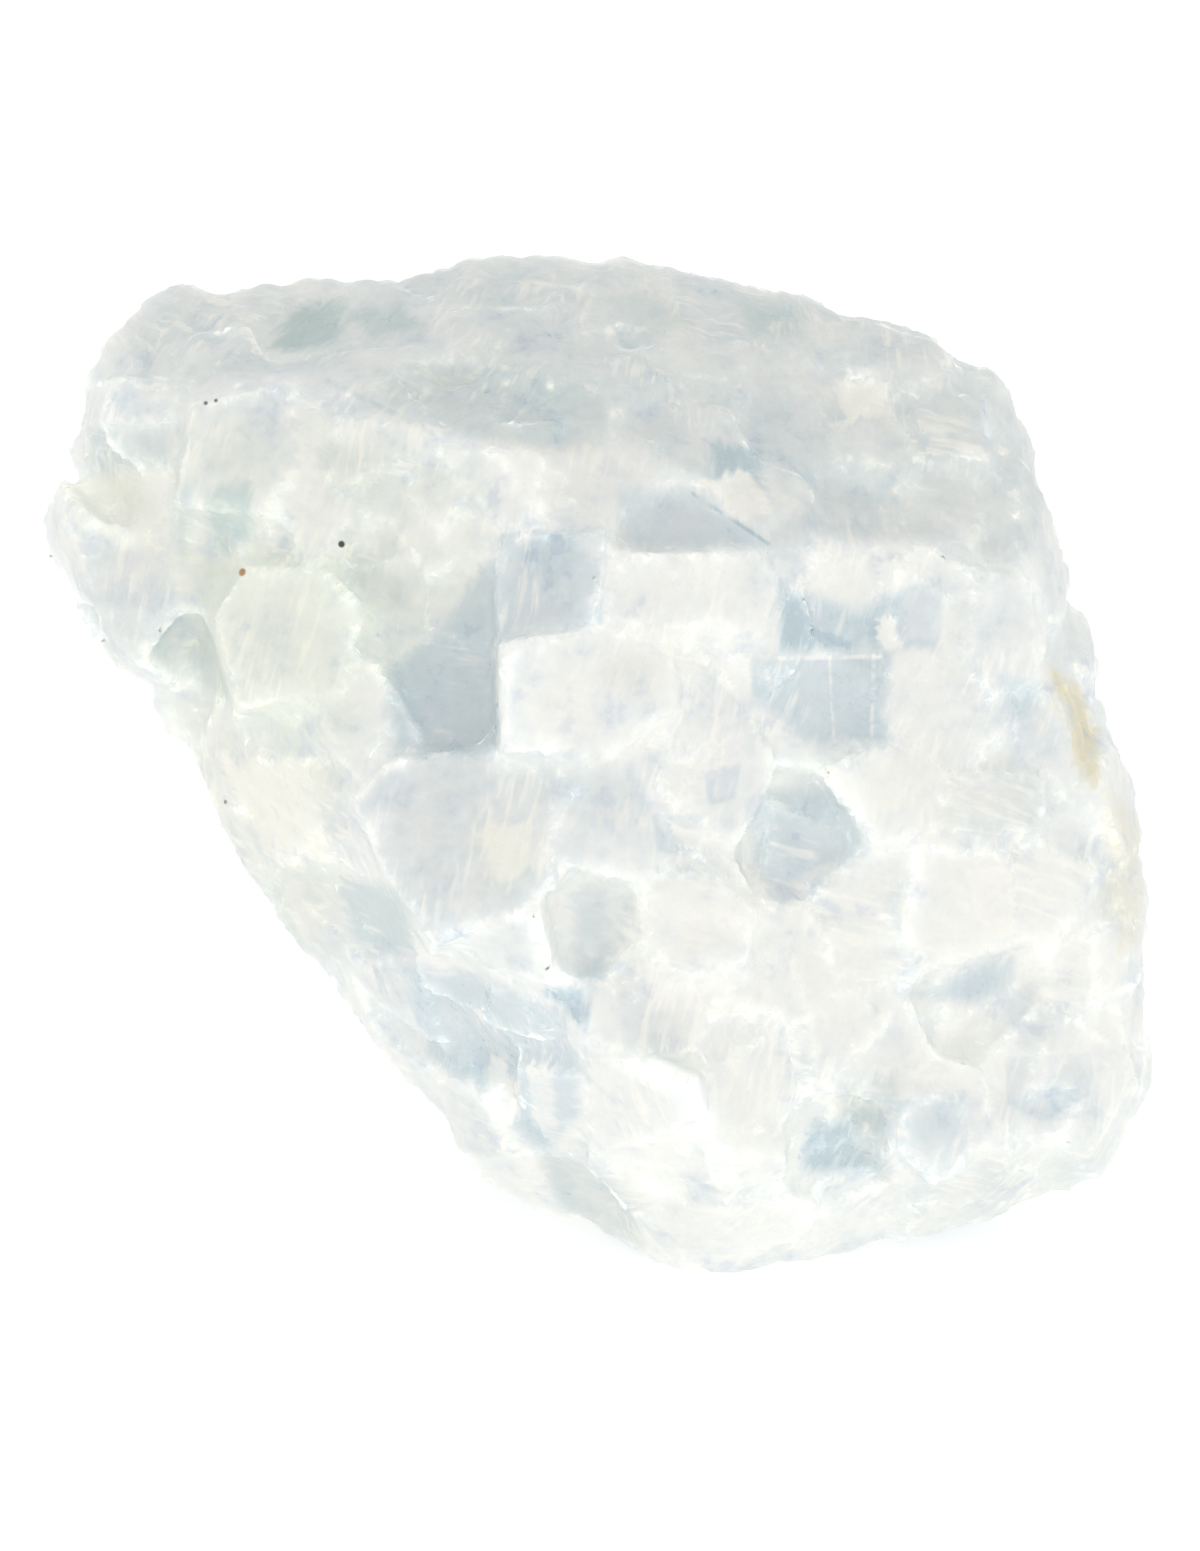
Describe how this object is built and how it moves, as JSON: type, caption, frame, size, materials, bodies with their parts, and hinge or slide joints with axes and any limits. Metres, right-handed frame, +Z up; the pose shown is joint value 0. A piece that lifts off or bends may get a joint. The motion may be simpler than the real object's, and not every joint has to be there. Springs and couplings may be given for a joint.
{
  "type": "rough blue calcite chunk",
  "caption": "Rough broken chunk of pale blue calcite with stepped cleavage facets, resting on one small flat spot.",
  "frame": {"origin": "middle of the footprint, on the plane that the chunk rests on", "axes": "+Z up from the resting spot, +X along the long side, -Y towards the broad faceted side"},
  "size_m": [0.0888, 0.0754, 0.0615],
  "materials": {
    "calcite": "glassy cleavage facets, frosted white along the breaks"
  },
  "bodies": {
    "root": {"calcite": "calcite"}
  },
  "joints": []
}
